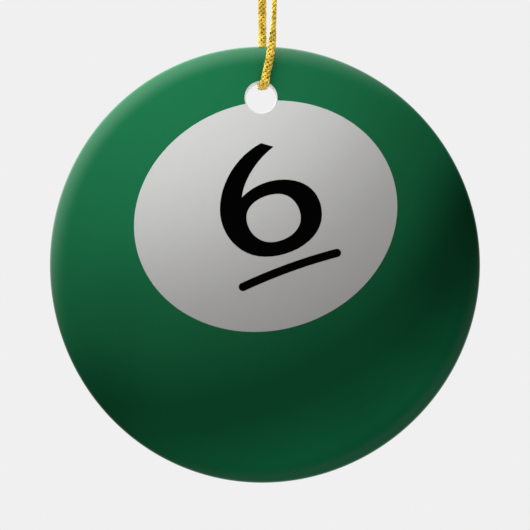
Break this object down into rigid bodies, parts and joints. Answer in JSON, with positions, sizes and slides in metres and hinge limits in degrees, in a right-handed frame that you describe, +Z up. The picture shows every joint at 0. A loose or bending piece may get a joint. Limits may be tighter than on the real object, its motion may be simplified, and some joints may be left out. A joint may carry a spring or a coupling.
{
  "type": "hanging disc ornament",
  "caption": "Flat round glazed porcelain ornament printed as a green number 6 pool ball, hung on a knotted loop of gold braided cord through a hole near its top.",
  "frame": {"origin": "the hang point, in the crotch of the cord loop under its knot", "axes": "+Z up along the loop, the printed face towards -Y, the disc's width along X"},
  "size_m": [0.073, 0.0072, 0.1575],
  "materials": {
    "porcelain": "white glazed porcelain, glossy",
    "green_coat": "glossy clear coat dyed green, shaded from light at the upper left to dark at the lower right",
    "pale_coat": "glossy clear coat dyed pale grey, lighter at the upper left",
    "black_coat": "glossy clear coat dyed black",
    "gold_cord": "gold metallic braid"
  },
  "bodies": {
    "loop_top": {"knot": "gold_cord", "cord_tail_front": "gold_cord", "cord_tail_back": "gold_cord", "front_strand_top": "gold_cord", "back_strand_top": "gold_cord"},
    "loop_neck": {"front_strand_neck": "gold_cord", "back_strand_neck": "gold_cord"},
    "loop_middle": {"front_strand_middle": "gold_cord", "back_strand_middle": "gold_cord"},
    "loop_sling": {"cord_through_hole": "gold_cord"},
    "disc": {"porcelain_disc": "porcelain", "green_print": "green_coat", "number_spot": "pale_coat", "numeral_six": "black_coat", "numeral_underline": "black_coat"}
  },
  "joints": [
    {"name": "loop_swing", "type": "hinge", "parent": "loop_top", "child": "loop_neck", "pos_m": [0, 0, -0.0045], "axis": [0, 1, 0], "range_deg": [-45, 45], "deforming": ["front_strand_neck", "back_strand_neck"]},
    {"name": "loop_sway", "type": "hinge", "parent": "loop_neck", "child": "loop_middle", "pos_m": [0, 0, -0.0135], "axis": [1, 0, 0], "range_deg": [-45, 45], "deforming": ["front_strand_middle", "back_strand_middle"]},
    {"name": "cord_twist", "type": "hinge", "parent": "loop_middle", "child": "loop_sling", "pos_m": [0, 0, -0.022], "axis": [0, 0, 1], "range_deg": [-180, 180], "stiffness_Nm_per_rad": 0.00002},
    {"name": "disc_tilt", "type": "hinge", "parent": "loop_sling", "child": "disc", "pos_m": [0, 0, -0.075], "axis": [0, 1, 0], "range_deg": [-60, 60]}
  ]
}
